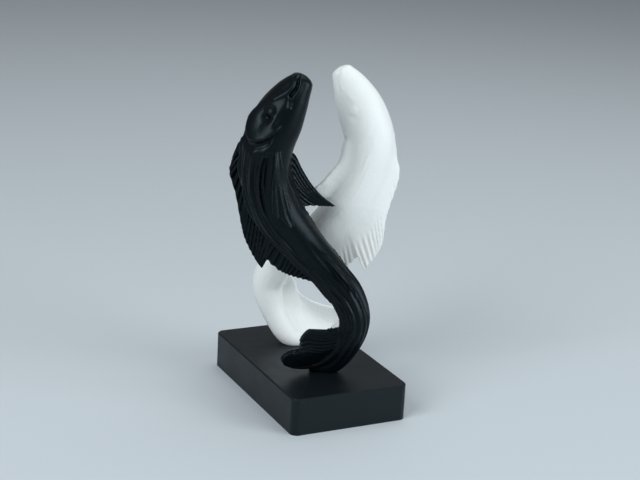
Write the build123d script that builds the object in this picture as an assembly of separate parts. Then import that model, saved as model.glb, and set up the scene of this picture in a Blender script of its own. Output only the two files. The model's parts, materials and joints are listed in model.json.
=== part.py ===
from build123d import *
from math import cos, degrees, radians, sin
import os

# Two carp, one dark and one pale, rise in opposite curls from a plain rectangular plinth.
# Millimetres, +Z up, origin at the middle of the plinth's underside, plinth length along X.

# Plinth
PLINTH_LENGTH = 80.0
PLINTH_WIDTH = 50.0
PLINTH_HEIGHT = 15.0
PLINTH_CORNER_RADIUS = 3.0
PLINTH_TOP_BEVEL = 0.5

# Height of the snout's middle above the plinth, which sets the size of the fish.
SNOUT_HEIGHT = 119.2
# Each fish curls in an upright plane, turned this far from the plinth's length.
FISH_TURN = 63.4
# The pale fish stands half a turn round the upright axis from the dark one.
HALF_TURN = 180.0

# Body stations from snout to tail end, in the fish's own frame:
# across the curl, towards the front, height above the plinth,
# half the depth from back to belly and half the width from side to side.
DARK_STATIONS = [
    (-6.2, 11.5, 119.2, 2.6, 2.4),
    (-7.8, 11.5, 116.5, 4.8, 4.2),
    (-11.4, 11.5, 111.0, 7.8, 6.2),
    (-15.8, 11.5, 102.4, 10.4, 8.2),
    (-20.0, 11.5, 90.5, 10.8, 9.6),
    (-19.4, 11.2, 77.0, 9.8, 9.8),
    (-14.4, 11.0, 64.5, 9.6, 9.6),
    (-5.0, 11.9, 53.2, 8.1, 8.1),
    (5.4, 14.6, 43.2, 6.9, 6.8),
    (14.0, 17.6, 33.5, 6.8, 6.6),
    (17.6, 19.8, 23.7, 6.1, 5.8),
    (14.6, 18.4, 12.4, 5.0, 4.8),
    (8.2, 14.6, 2.8, 3.9, 4.2),
    (0.4, 14.6, 1.4, 1.6, 2.2),
]
# The pale fish curls wider at the tail.
PALE_STATIONS = DARK_STATIONS[:9] + [
    (15.0, 17.8, 33.6, 7.2, 6.8),
    (18.7, 20.0, 24.0, 6.7, 6.2),
    (15.6, 18.4, 12.6, 5.2, 5.0),
    (8.2, 14.6, 2.8, 3.9, 4.2),
    (0.4, 14.6, 1.4, 1.6, 2.2),
]
# The tables give the fish at the snout height of their first row.
FISH_SIZE = SNOUT_HEIGHT / DARK_STATIONS[0][2]
# The back rolls away from the front, by this many degrees at each station.
BACK_ROLLS = [27, 27, 27, 27, 38, 50, 58, 60, 56, 50, 45, 42, 42, 42]
# The ovals themselves keep one roll, so that the skin does not twist between them.
OVAL_ROLL = 30.0
SNOUT_ROUNDING = 1.6
# Share of a station over which the spine's direction is taken.
DIRECTION_STEP = 0.05

# Fins are thin webs: a thick root sunk in the body, a thin free edge.
FIN_ROOT_THICKNESS = 2.4
FIN_EDGE_THICKNESS = 1.0
# Depth under the skin at which a dorsal ray starts.
FIN_ROOT_SUNK = 4.0

# Dorsal fin, in two lobes: place of each ray along the body stations, and the ray's tip.
DARK_DORSAL_FRONT = [
    (4.05, (-31.4, 9.0, 88.5)),
    (4.6, (-34.8, 7.6, 79.0)),
    (5.2, (-32.2, 6.0, 69.0)),
    (5.8, (-29.4, 5.0, 56.5)),
    (6.5, (-20.6, 3.2, 38.0)),
]
PALE_DORSAL_FRONT = [
    (3.6, (-28.6, 10.0, 96.5)),
    (4.2, (-31.2, 8.8, 86.0)),
    (4.8, (-32.8, 7.6, 77.0)),
    (5.3, (-29.7, 6.0, 64.4)),
    (5.8, (-27.6, 4.8, 50.0)),
    (6.5, (-20.6, 3.4, 37.6)),
]
DORSAL_REAR = [
    (6.55, (-18.8, 4.2, 43.6)),
    (7.2, (-11.8, 5.2, 37.8)),
    (7.9, (-2.2, 7.6, 35.6)),
    (8.5, (4.2, 12.0, 34.1)),
]

# Far breast fin, spread in the gap between the two fish: root and tip of each ray, front edge first.
FAR_BREAST_RAYS = [
    ((-12.0, 8.5, 89.0), (-5.9, 6.8, 80.6)),
    ((-12.0, 8.5, 85.0), (8.0, 4.0, 65.8)),
    ((-11.5, 8.5, 78.0), (0.5, 5.0, 66.0)),
    ((-10.5, 8.5, 72.0), (-6.0, 6.8, 66.0)),
]

# Strips raised on the skin. Each section gives its place along the stations, its first and last edge in
# degrees round from the back, and its rise over the skin at the edges and in the middle.
NEAR_BREAST_FIN = [
    (3.9, 142, 154, 0.4, 0.6),
    (4.4, 149, 171, 2.2, 2.4),
    (5.0, 149, 182, 2.6, 2.8),
    (5.6, 145, 182, 2.6, 2.8),
    (6.1, 151, 177, 2.5, 2.7),
    (6.5, 162, 171, 2.2, 2.4),
]
BELLY_FIN = [
    (7.2, 176, 190, 0.0, 0.4),
    (7.8, 173, 190, 0.6, 1.6),
    (8.4, 167, 187, 1.0, 2.6),
    (8.9, 161, 180, 1.6, 3.2),
    (9.2, 160, 170, 2.4, 3.2),
]
GILL_COVER = [
    (2.9, 42, 116, -0.5, -0.4),
    (3.25, 44, 116, 0.3, 0.5),
    (3.55, 52, 114, 1.2, 1.2),
    (3.75, 61, 108, 1.6, 1.6),
    (3.87, 74, 98, 1.7, 1.7),
]
# Ridges along the flank: place and degrees round from the back of points along each one.
BACK_CORD = [(4.0, 45), (4.5, 53), (5.0, 60), (5.5, 65), (6.0, 69), (6.5, 72),
             (7.0, 74), (7.6, 73), (8.2, 70)]
FLANK_FOLDS = [
    [(4.3, 77), (5.0, 82), (5.8, 88), (6.6, 92), (7.4, 92)],
    [(4.4, 99), (5.0, 103), (5.8, 108), (6.6, 110), (7.4, 110)],
]
RIDGE_HALF_TURN = 9.0
CORD_RISE = 1.5
FOLD_RISE = 0.8
RIDGE_EDGE = -0.5
# Depth of a strip's root under the skin.
STRIP_SUNK = 2.5

# The dark fish has the full carving. The pale one is worn smooth, with low eyes and mouth only.
FULL_CARVING = 1.0
WORN_CARVING = 0.45

# Mouth slit, from the snout to its corner
MOUTH = [(0.35, 84), (1.0, 95), (1.45, 102), (2.0, 98)]
MOUTH_WIDTH = 1.1
MOUTH_DEPTH = 1.4

# Tail fan, from its upper corner round to the plinth. The pale fish's fan is fuller.
DARK_TAIL_RAYS = [
    ((16.6, 19.4, 22.0), (-0.4, 21.5, 19.7)),
    ((16.2, 19.2, 17.0), (-3.6, 22.4, 16.0)),
    ((14.6, 18.4, 12.4), (-4.0, 23.5, 11.8)),
    ((11.6, 16.6, 7.6), (-9.6, 26.0, 10.2)),
    ((7.6, 14.4, 3.6), (-8.6, 23.6, 5.4)),
]
PALE_TAIL_RAYS = [
    ((17.6, 19.8, 23.0), (6.4, 21.0, 22.0)),
    ((17.0, 19.4, 18.0), (-1.0, 22.0, 16.8)),
    ((15.2, 18.4, 12.6), (-7.6, 24.2, 13.8)),
    ((11.8, 16.6, 7.6), (-9.8, 25.6, 10.2)),
    ((7.6, 14.4, 3.6), (-8.6, 23.6, 5.4)),
]

# Bead along the tail's front edge
TAIL_RIM = [
    (14.2, 20.0, 24.0),
    (12.4, 21.0, 15.6),
    (8.2, 19.2, 7.4),
    (3.4, 17.4, 4.0),
    (-2.0, 19.9, 4.4),
    (-8.8, 23.8, 5.6),
]
TAIL_RIM_RADIUS = 1.3

# Eyes: place, degrees round from the back, radius and rise of the dome over the skin
EYE_PLACE = 2.75
EYE_TURN = 84.0
EYE_RADIUS = 3.3
EYE_RISE = 1.7

# Fixing of each tail: a keyed tenon in a socket, drawn down by one screw from below.
FOOT_ACROSS = 6.0
FOOT_FRONT = 14.4
TENON_LENGTH = 8.0
TENON_WIDTH = 4.6
TENON_DEPTH = 4.0
TENON_ROOT = 2.0
TENON_CLEARANCE = 0.15
SCREW_DIAMETER = 2.5
SCREW_REACH = 3.5
SCREW_HEAD_DIAMETER = 5.0
SCREW_HEAD_HEIGHT = 2.0
SCREW_HEAD_SEAT = 9.0
SCREW_DRIVE_WIDTH = 1.8
SCREW_DRIVE_DEPTH = 1.1
SCREW_CLEARANCE = 0.05
SCREW_HEAD_CLEARANCE = 0.4


def fish_point(across, front, up):
    """A point of the fish's own frame: X across the curl, -Y to the front, Z from the plinth's top."""
    return Vector(across, -front, up) * FISH_SIZE


def blend(rows, place):
    """Rows of numbers, blended smoothly at a place between them, counted in rows from 0."""
    index = min(int(place), len(rows) - 2)
    share = place - index
    picks = [rows[min(max(index + step, 0), len(rows) - 1)] for step in (-1, 0, 1, 2)]
    values = []
    for before, start, end, after in zip(*picks):
        bend = 2 * before - 5 * start + 4 * end - after
        twist = 3 * (start - end) + after - before
        values.append(start + share / 2 * (end - before + share * (bend + share * twist)))
    return values


def spine(stations, place, roll):
    """Centre, direction, back direction and half sizes at a place along the stations."""
    across, front, up, half_tall, half_wide = blend(stations, place)
    ahead = fish_point(*blend(stations, min(place + DIRECTION_STEP, len(stations) - 1))[:3])
    behind = fish_point(*blend(stations, max(place - DIRECTION_STEP, 0))[:3])
    along = (ahead - behind).normalized()
    level_back = Vector(0, 1, 0).cross(along).normalized()
    back = level_back * cos(radians(roll)) + along.cross(level_back) * sin(radians(roll))
    return fish_point(across, front, up), along, back, half_tall * FISH_SIZE, half_wide * FISH_SIZE


def skin_point(stations, place, turn, rise):
    """A point over the skin: place along the stations, degrees round from the back, height."""
    roll = blend([(angle,) for angle in BACK_ROLLS], place)[0]
    centre, along, back, half_tall, half_wide = spine(stations, place, roll)
    side = back.cross(along)
    c, s = cos(radians(turn)), sin(radians(turn))
    out = (back * (c * half_wide) + side * (s * half_tall)).normalized()
    return centre + back * (c * half_tall) + side * (s * half_wide) + out * (rise * FISH_SIZE)


def body(stations):
    """The round body, lofted through an oval at each station."""
    ovals = []
    for index in range(len(stations)):
        centre, along, back, half_tall, half_wide = spine(stations, index, OVAL_ROLL)
        ovals.append(Plane(origin=centre, x_dir=back, z_dir=along) * Ellipse(half_tall, half_wide))
    whole = loft(ovals)
    return fillet(whole.faces().sort_by(Axis.Z)[-1].edges(), SNOUT_ROUNDING)


def strip(stations, sections, sunk, side=1):
    """A strip on the skin, lofted through its sections, with a root sunk under the skin."""
    faces = []
    for place, first, last, edge, crest in sections:
        turns = (side * first, side * (first + last) / 2, side * last)
        outer = [skin_point(stations, place, turn, rise) for turn, rise in zip(turns, (edge, crest, edge))]
        inner = [skin_point(stations, place, turn, -sunk) for turn in (turns[2], turns[0])]
        faces.append(make_face([ThreePointArc(*outer), Polyline(outer[2], *inner, outer[0])]))
    return loft(faces)


def ridge(stations, line, rise, side):
    """A rounded ridge along a line on the skin."""
    sections = []
    for place, turn in line:
        sections.append((place, turn - RIDGE_HALF_TURN, turn + RIDGE_HALF_TURN, RIDGE_EDGE, rise))
    return strip(stations, sections, STRIP_SUNK, side)


def mouth(stations, carving, side):
    """The space of the mouth slit on one side of the head."""
    depth = MOUTH_DEPTH * carving
    sections = []
    for place, turn in MOUTH:
        half_deep, half_wide = blend(stations, place)[3:]
        half_turn = degrees(MOUTH_WIDTH / (half_deep + half_wide))
        sections.append((place, turn - half_turn, turn + half_turn, MOUTH_DEPTH, MOUTH_DEPTH))
    return strip(stations, sections, depth, side)


def fan(rays):
    """A thin web through its rays, each one a tapering slice from root to tip."""
    slices = []
    for index, (root, tip) in enumerate(rays):
        before = rays[max(index - 1, 0)][1]
        after = rays[min(index + 1, len(rays) - 1)][1]
        thick = (tip - root).cross(after - before).normalized()
        root_half = thick * (FIN_ROOT_THICKNESS / 2)
        edge_half = thick * (FIN_EDGE_THICKNESS / 2)
        corners = [root + root_half, tip + edge_half, tip - edge_half, root - root_half]
        slices.append(make_face(Polyline(*corners, close=True)))
    return loft(slices)


def dorsal_lobe(stations, rays):
    """One lobe of the fin along the back."""
    return fan([(skin_point(stations, place, 0, -FIN_ROOT_SUNK), fish_point(*tip)) for place, tip in rays])


def plain_fin(rays):
    """A fin given by the root and tip of each ray."""
    return fan([(fish_point(*root), fish_point(*tip)) for root, tip in rays])


def tail_rim():
    """The round bead along the tail's front edge."""
    path = Spline(*[fish_point(*point) for point in TAIL_RIM])
    return sweep(Plane(origin=path @ 0, z_dir=path % 0) * Circle(TAIL_RIM_RADIUS), path=path)


def eye(stations, carving, side):
    """A domed eye on one side of the head."""
    rise = EYE_RISE * carving - EYE_RADIUS
    return Pos(skin_point(stations, EYE_PLACE, side * EYE_TURN, rise)) * Sphere(EYE_RADIUS * FISH_SIZE)


def flank_carving(stations, side):
    """Gill cover, cord and folds on one side."""
    pieces = [strip(stations, GILL_COVER, STRIP_SUNK, side)]
    pieces.append(ridge(stations, BACK_CORD, CORD_RISE, side))
    for fold in FLANK_FOLDS:
        pieces.append(ridge(stations, fold, FOLD_RISE, side))
    return pieces


def foot_place(height):
    """The middle of the tail's foot at a height above the plinth's top."""
    return Pos(0, 0, height) * Pos(fish_point(FOOT_ACROSS, FOOT_FRONT, 0))


def tenon():
    """The keyed peg under the tail."""
    tall = TENON_DEPTH + TENON_ROOT
    return foot_place((TENON_ROOT - TENON_DEPTH) / 2) * Box(TENON_LENGTH, TENON_WIDTH, tall)


def screw_hole():
    """The screw's hole, up through the tenon into the tail."""
    tall = TENON_DEPTH + SCREW_REACH + SCREW_CLEARANCE
    middle = (SCREW_REACH + SCREW_CLEARANCE - TENON_DEPTH) / 2
    return foot_place(middle) * Cylinder(SCREW_DIAMETER / 2 + SCREW_CLEARANCE, tall)


def fish(stations, dorsal_front, tail_rays, carving):
    """One fish in its own frame: body, fins, head, flank carving, flat foot, tenon and screw hole."""
    shape = split(body(stations), bisect_by=Plane.XY, keep=Keep.TOP)
    shape = shape + plain_fin(tail_rays)
    shape = shape + tenon() - screw_hole()
    pieces = [
        dorsal_lobe(stations, dorsal_front),
        dorsal_lobe(stations, DORSAL_REAR),
        strip(stations, NEAR_BREAST_FIN, STRIP_SUNK),
        plain_fin(FAR_BREAST_RAYS),
        strip(stations, BELLY_FIN, STRIP_SUNK),
        tail_rim(),
    ]
    for side in (1, -1):
        pieces.append(eye(stations, carving, side))
        if carving == FULL_CARVING:
            pieces += flank_carving(stations, side)
    for piece in pieces:
        shape = shape + piece
    for side in (1, -1):
        shape = shape - mouth(stations, carving, side)
    return shape


def placed(shape, turn):
    """A shape of the fish's own frame, set on the plinth and turned about the upright axis."""
    return Rot(0, 0, turn) * Pos(0, 0, PLINTH_HEIGHT) * shape


def socket():
    """The space in the plinth for a tenon, its screw and the screw's sunk head."""
    grown = 2 * TENON_CLEARANCE
    deep = TENON_DEPTH + TENON_CLEARANCE
    pocket = foot_place(-deep / 2) * Box(TENON_LENGTH + grown, TENON_WIDTH + grown, deep)
    bore = foot_place(-PLINTH_HEIGHT / 2) * Cylinder(SCREW_DIAMETER / 2 + SCREW_CLEARANCE, PLINTH_HEIGHT)
    recess_depth = PLINTH_HEIGHT - SCREW_HEAD_SEAT
    recess_radius = SCREW_HEAD_DIAMETER / 2 + SCREW_HEAD_CLEARANCE
    recess = foot_place(recess_depth / 2 - PLINTH_HEIGHT) * Cylinder(recess_radius, recess_depth)
    return pocket + bore + recess


def plinth():
    """The block, with rounded upright corners, an eased top edge and two sockets."""
    block = Pos(0, 0, PLINTH_HEIGHT / 2) * Box(PLINTH_LENGTH, PLINTH_WIDTH, PLINTH_HEIGHT)
    block = fillet(block.edges().filter_by(Axis.Z), PLINTH_CORNER_RADIUS)
    block = chamfer(block.faces().sort_by(Axis.Z)[-1].edges(), PLINTH_TOP_BEVEL)
    for turn in (FISH_TURN, FISH_TURN + HALF_TURN):
        block = block - placed(socket(), turn)
    return block


def screw():
    """One pan-head screw, head down in its recess, its point up in the tail."""
    length = SCREW_HEAD_SEAT + SCREW_REACH
    seat = -SCREW_HEAD_SEAT
    shank = foot_place(seat + length / 2) * Cylinder(SCREW_DIAMETER / 2, length)
    head = foot_place(seat - SCREW_HEAD_HEIGHT / 2) * Cylinder(SCREW_HEAD_DIAMETER / 2, SCREW_HEAD_HEIGHT)
    drive_middle = seat - SCREW_HEAD_HEIGHT + SCREW_DRIVE_DEPTH / 2
    drive = foot_place(drive_middle) * extrude(
        RegularPolygon(SCREW_DRIVE_WIDTH / 2, 6), SCREW_DRIVE_DEPTH / 2, both=True
    )
    return shank + head - drive


def write_parts():
    """One file for each piece of the figurine."""
    os.makedirs("parts", exist_ok=True)
    turns = (FISH_TURN, FISH_TURN + HALF_TURN)
    pieces = {
        "plinth": plinth(),
        "dark_fish": placed(fish(DARK_STATIONS, DARK_DORSAL_FRONT, DARK_TAIL_RAYS, FULL_CARVING), turns[0]),
        "pale_fish": placed(fish(PALE_STATIONS, PALE_DORSAL_FRONT, PALE_TAIL_RAYS, WORN_CARVING), turns[1]),
        "fixing_screws": Compound(children=[placed(screw(), turn) for turn in turns]),
    }
    for name, shape in pieces.items():
        export_step(shape, f"parts/{name}.step")
        size = shape.bounding_box().size
        print(f"{name}: {size.X:.1f} x {size.Y:.1f} x {size.Z:.1f} mm")


write_parts()
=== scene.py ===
# %% [markdown]
# # Two carp on a plinth
# A dark carp and a pale carp rise from a small black plinth in opposite curls. The CAD model
# gives the true size and the frame. Here each fish is remade as a
# finely sculpted mesh with mouth, eyes, gill covers and rayed fins, and gets a painted finish.
# The CAD pieces come first.

import bmesh
import bpy
import json
import numpy as np
from mathutils import Matrix, Vector

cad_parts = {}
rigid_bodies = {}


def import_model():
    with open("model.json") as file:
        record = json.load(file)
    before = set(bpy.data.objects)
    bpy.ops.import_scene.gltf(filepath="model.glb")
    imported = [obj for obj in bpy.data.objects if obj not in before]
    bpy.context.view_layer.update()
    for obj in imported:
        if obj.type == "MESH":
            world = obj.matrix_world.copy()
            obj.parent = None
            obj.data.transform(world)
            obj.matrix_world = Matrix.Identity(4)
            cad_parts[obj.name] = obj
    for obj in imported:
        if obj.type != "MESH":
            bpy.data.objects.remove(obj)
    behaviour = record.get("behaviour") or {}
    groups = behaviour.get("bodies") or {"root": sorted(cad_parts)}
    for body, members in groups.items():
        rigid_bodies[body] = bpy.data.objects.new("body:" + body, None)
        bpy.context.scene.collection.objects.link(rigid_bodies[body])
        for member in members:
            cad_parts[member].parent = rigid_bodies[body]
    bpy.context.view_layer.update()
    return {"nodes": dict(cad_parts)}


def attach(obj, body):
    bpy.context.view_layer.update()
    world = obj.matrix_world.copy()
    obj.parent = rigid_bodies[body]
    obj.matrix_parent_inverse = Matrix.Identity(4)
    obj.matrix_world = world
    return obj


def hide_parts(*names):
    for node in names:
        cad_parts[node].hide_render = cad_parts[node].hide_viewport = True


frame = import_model()
MM = 0.001


# %% [markdown]
# ## Measures
# Both fish have nearly one shape, and one stands turned half round. A fish could be
# sculpted freehand, but then it would not lie on the CAD model. So it is drawn by numbers in its
# own frame in millimetres: across the curl, to the front, and up from the plinth's top. Stations
# give the body's middle and half sizes from snout to tail, nearly as in the CAD model.

# %% Stations along the body
# The middle across, to the front and up, then half height and half width.
DARK_STATIONS = [
    (-6.4, 11.5, 118.9, 3.5, 3.2), (-8.0, 11.5, 116.3, 5.0, 4.4), (-11.4, 11.5, 111.0, 7.6, 6.2),
    (-15.8, 11.5, 102.4, 10.0, 8.2), (-20.0, 11.5, 90.5, 10.5, 9.4), (-19.4, 11.2, 77.0, 9.7, 9.6),
    (-14.4, 11.0, 64.5, 9.4, 9.4), (-5.0, 11.9, 53.2, 8.0, 8.0), (5.4, 14.6, 43.2, 6.8, 6.7),
    (14.0, 17.6, 33.5, 6.8, 6.5), (17.6, 19.8, 23.7, 6.0, 5.7), (14.6, 18.4, 12.4, 5.0, 4.8),
    (8.2, 14.6, 2.8, 3.9, 4.2), (0.4, 14.6, 1.4, 1.6, 2.2),
]
LAST_STATION = len(DARK_STATIONS) - 1
# The pale fish is a little fuller at the bend before the tail.
TAIL_BEND = slice(9, 12)
PALE_STATIONS = list(DARK_STATIONS)
PALE_STATIONS[TAIL_BEND] = [
    (15.0, 17.8, 33.6, 7.2, 6.8), (18.7, 20.0, 24.0, 6.7, 6.2), (15.6, 18.4, 12.6, 5.2, 5.0),
]
print("Stations along the body:", len(DARK_STATIONS), "and", len(PALE_STATIONS))

# %% [markdown]
# ## A smooth line through points
# Body, fins and carving follow flowing lines. A Blender curve could draw them, but its handles are
# set by hand. A cubic whose slope at each point follows the two neighbours passes through all
# points and does not swing wide.


# %% Smooth line
def line_through(points, at):
    """Points on the smooth line at the given places, counted in points from 0."""
    points = np.asarray(points, float)
    at = np.asarray(at, float)
    last = len(points) - 1
    if last == 1:
        return points[0] + at[..., None] * (points[1] - points[0])
    gap = np.sqrt(np.linalg.norm(np.diff(points[:, :3], axis=0), axis=1))
    knots = np.concatenate([[0.0], np.cumsum(gap)])
    pace = np.diff(points, axis=0) / gap[:, None]
    slope = np.empty_like(points)
    slope[0], slope[-1] = pace[0], pace[-1]
    share = (gap[:-1] / (knots[2:] - knots[:-2]))[:, None]
    slope[1:-1] = pace[:-1] * (1 - share) + pace[1:] * share
    index = np.clip(at.astype(int), 0, last - 1)
    t = (at - index)[..., None]
    length = gap[index][..., None]
    rise = 3 * t**2 - 2 * t**3
    start = (1 - rise) * points[index] + (t**3 - 2 * t**2 + t) * length * slope[index]
    end = rise * points[index + 1] + (t**3 - t**2) * length * slope[index + 1]
    return start + end


print("Half way down the body, mm:", line_through(DARK_STATIONS, [LAST_STATION / 2])[0].round(1))

# %% [markdown]
# ## The body's skin
# The body of the carp is a bent tube that swells behind the head and thins towards the tail. A
# bevelled curve would make such a tube, but only a round one. Here the section is an oval that
# stays square to the spine, with the back rolled away from the front. A place on the skin is a
# station number and an angle: 0 on the back, 90 on the near side, 180 on the belly, and minus for
# the far side.

# %% Points on the skin
# How far the back rolls away from the front, in degrees, at places along the body.
ROLL_PLACES = [0, 3, 4, 5, 6, 7, 8, 9, 10, 11]
ROLL_ANGLES = [27, 27, 38, 50, 58, 60, 56, 50, 45, 42]
# The tables count to the front, and the shared frame's second axis points away from it.
FRONT_BACK = np.array([1.0, -1.0, 1.0])
SPINE_STEPS = 2601
DIRECTION_STEP = 0.002


class Body:
    """The body of one fish, from its table of stations."""

    def __init__(self, stations):
        self.stations = np.asarray(stations, float)
        self.places = np.linspace(0, LAST_STATION, SPINE_STEPS)
        steps = np.linalg.norm(np.diff(self.spine(self.places)[0], axis=0), axis=1)
        self.runs = np.concatenate([[0.0], np.cumsum(steps)])

    def spine(self, place):
        """Middle, back direction, near side direction and half sizes at places along the body."""
        place = np.clip(np.asarray(place, float), 0, LAST_STATION)
        here = line_through(self.stations, place)
        ahead = line_through(self.stations, np.clip(place + DIRECTION_STEP, 0, LAST_STATION))
        behind = line_through(self.stations, np.clip(place - DIRECTION_STEP, 0, LAST_STATION))
        along = (ahead - behind)[..., :3] * FRONT_BACK
        along /= np.linalg.norm(along, axis=-1, keepdims=True)
        level = np.cross([0.0, 1.0, 0.0], along)
        level /= np.linalg.norm(level, axis=-1, keepdims=True)
        roll = np.radians(np.interp(place, ROLL_PLACES, ROLL_ANGLES))[..., None]
        back = level * np.cos(roll) + np.cross(along, level) * np.sin(roll)
        return here[..., :3] * FRONT_BACK, back, np.cross(back, along), here[..., 3], here[..., 4]

    def skin(self, place, angle, lift=0.0):
        """Points on the body, or lifted off it, in the fish's frame."""
        middle, back, near, tall, wide = self.spine(place)
        turn = np.radians(angle)
        c, s = np.cos(turn)[..., None], np.sin(turn)[..., None]
        tall, wide = tall[..., None], wide[..., None]
        out = back * c * wide + near * s * tall
        out /= np.linalg.norm(out, axis=-1, keepdims=True)
        return middle + back * c * tall + near * s * wide + out * np.asarray(lift)[..., None]

    def run_at(self, place):
        """Millimetres along the spine from the snout."""
        return np.interp(place, self.places, self.runs)


BODIES = {"dark": Body(DARK_STATIONS), "pale": Body(PALE_STATIONS)}
for fish, body in BODIES.items():
    print("Length of the", fish, "fish along the spine, mm:", round(float(body.runs[-1]), 1))

# %% [markdown]
# ## Relief on the skin
# Mouth, eyes, gill covers and folds stand out from the real fish or are cut into it. They could be
# made with sculpting brushes, but a script can't repeat a brush stroke. So each feature is a line
# or a spot on the skin, and its height fades with the distance over the skin. The far side mirrors
# the near side. Three soft shapes do all the fading: a step, a band and a ridge.


# %% Soft shapes
def ramp(x, low, high):
    """A soft step from 0 at low to 1 at high."""
    t = np.clip((x - low) / (high - low), 0, 1)
    return t * t * (3 - 2 * t)


def band(x, low, full, fade, gone):
    """A soft band that rises from low to full and falls again from fade to gone."""
    return ramp(x, low, full) * (1 - ramp(x, fade, gone))


def ridge(distance, width):
    """A soft ridge, 1 on its line and fading over the width."""
    return np.exp(-((distance / width) ** 2))


print("A quarter up a step:", ramp(0.25, 0, 1), "and one width off a ridge:", ridge(1, 1).round(3))

# %% [markdown]
# The distance from a feature has to follow the skin, or a line on one cheek would also mark the
# other. It could be read from a finished mesh, but no mesh exists yet. So the step along the spine
# and the step round the body are measured apart and joined as the two sides of a right angle.

# %% Distance over the skin
# About how long a station and how wide a degree is, which evens the smooth lines.
STATION_MM, DEGREE_MM = 12.0, 0.15
LINE_POINTS = 80
SAMPLES = 200


def distance_on_skin(body, place, turn, line):
    """Millimetres over the skin to the nearest point of a line or spot."""
    line = np.asarray(line, float)
    if len(line) > 1:
        even = np.array([STATION_MM, DEGREE_MM])
        line = line_through(line * even, np.linspace(0, len(line) - 1, LINE_POINTS)) / even
    tall, wide = body.spine(place)[3:]
    round_mm = np.radians(1.0) * (tall + wide) / 2
    run = body.run_at(place)
    nearest = np.full(place.shape, np.inf)
    for spot, spot_turn in line:
        away = np.hypot(run - body.run_at(spot), round_mm * (turn - spot_turn))
        nearest = np.minimum(nearest, away)
    return nearest


def pressed(body, place, turn, feature):
    """Height of one line feature, limited to its places along the body if it names any."""
    away = distance_on_skin(body, place, turn, feature["line"])
    height = feature["height"] * ridge(away, feature["width"])
    return height * band(place, *feature["places"]) if "places" in feature else height


def print_heights(name, relief_of):
    """Print the range of heights that a relief gives all over the dark fish."""
    along, angles = np.linspace(0, LAST_STATION, SAMPLES), np.linspace(-180, 180, SAMPLES)
    heights = relief_of(BODIES["dark"], *np.meshgrid(along, angles, indexing="ij"))
    print(name, "from", heights.min().round(2), "to", heights.max().round(2), "mm")


half_round = distance_on_skin(BODIES["dark"], np.array([4.0]), np.array([0.0]), [(4.0, 180.0)])
print("From back to belly at the fourth station, mm:", half_round.round(1))

# %% [markdown]
# ## Head
# The head has an open mouth with lips, a brow over it, a fold in the cheek and a round eye in a
# shallow hollow. Balls and tubes could be set in for eye and lips, but they would look stuck on.
# Heights on one skin run into each other as in clay. Points are a station number and an angle.
# Heights and widths are in millimetres.

# %% Head relief
MOUTH = {
    "line": [(0.0, 74), (0.5, 79), (1.0, 96), (1.4, 107), (1.9, 106)],
    "height": -1.6, "width": 0.48,
}
LIP = {"height": 0.3, "width": 0.7, "from_mouth": 1.2, "clear": (0.6, 1.6)}
BROW = {
    "line": [(0.4, 66), (1.0, 84), (1.4, 96), (2.0, 87), (2.4, 74)],
    "height": 0.6, "width": 1.0,
}
CHEEK_FOLD = {"line": [(2.0, 108), (2.35, 120)], "height": -0.8, "width": 0.8}
EYE = {"line": [(2.82, 84)], "height": 1.0, "radius": 2.2, "fullness": 0.8}
EYE_HOLLOW = {"line": [(3.08, 86)], "height": -1.6, "width": 1.8, "clear": (1.0, 2.4)}


def head_relief(body, place, angle):
    """Mouth and lips, brow, cheek fold, and the eye in its hollow."""
    turn = np.abs(angle)
    mouth = distance_on_skin(body, place, turn, MOUTH["line"])
    eye = distance_on_skin(body, place, turn, EYE["line"])
    ball = np.clip(1 - (eye / EYE["radius"]) ** 2, 0, 1) ** EYE["fullness"]
    height = pressed(body, place, turn, MOUTH) + pressed(body, place, turn, CHEEK_FOLD)
    height += LIP["height"] * ridge(mouth - LIP["from_mouth"], LIP["width"])
    height += pressed(body, place, turn, BROW) * ramp(mouth, *LIP["clear"])
    height += pressed(body, place, turn, EYE_HOLLOW) * ramp(eye, *EYE_HOLLOW["clear"])
    return height + EYE["height"] * ball


print_heights("Head", head_relief)

# %% [markdown]
# ## Gill covers
# The gill cover is a plate with a crisp rear rim and a groove behind it. A second shell could be
# laid over the cheek, but its front would need a blend of its own. As a height it is full at the
# rim and fades out forward. Four numbers say where a feature starts, is full, starts to fade and is
# gone.

# %% Gill relief
GILL_PLATE = {
    "line": [(3.3, 39), (3.55, 50), (3.7, 59), (3.84, 78), (3.81, 99), (3.71, 110), (3.56, 117),
             (3.38, 121), (3.22, 122)],
    "height": 1.7, "width": 5.5, "edge": 0.45, "angles": (30, 46, 120, 127),
    "chin_angles": (102, 116), "chin_places": (2.95, 3.4),
}
GILL_GROOVE = {"height": -0.9, "width": 1.1, "from_edge": 1.5, "inside": (-0.6, 0.2)}


def gill_relief(body, place, angle):
    """The gill cover: a plate with a crisp rim, and the groove behind the rim."""
    turn = np.abs(angle)
    places, turns = zip(*GILL_PLATE["line"])
    inside = body.run_at(np.interp(turn, turns, places)) - body.run_at(place)
    away = distance_on_skin(body, place, turn, GILL_PLATE["line"])
    under_chin = ramp(turn, *GILL_PLATE["chin_angles"])
    under_chin *= 1 - ramp(place, *GILL_PLATE["chin_places"])
    shown = band(turn, *GILL_PLATE["angles"]) * (1 - under_chin)
    plate = ramp(inside, -GILL_PLATE["edge"], GILL_PLATE["edge"]) * ridge(away, GILL_PLATE["width"])
    groove = ridge(away - GILL_GROOVE["from_edge"], GILL_GROOVE["width"])
    groove *= 1 - ramp(inside, *GILL_GROOVE["inside"])
    return shown * (GILL_PLATE["height"] * plate + GILL_GROOVE["height"] * groove)


print_heights("Gill covers", gill_relief)

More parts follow.
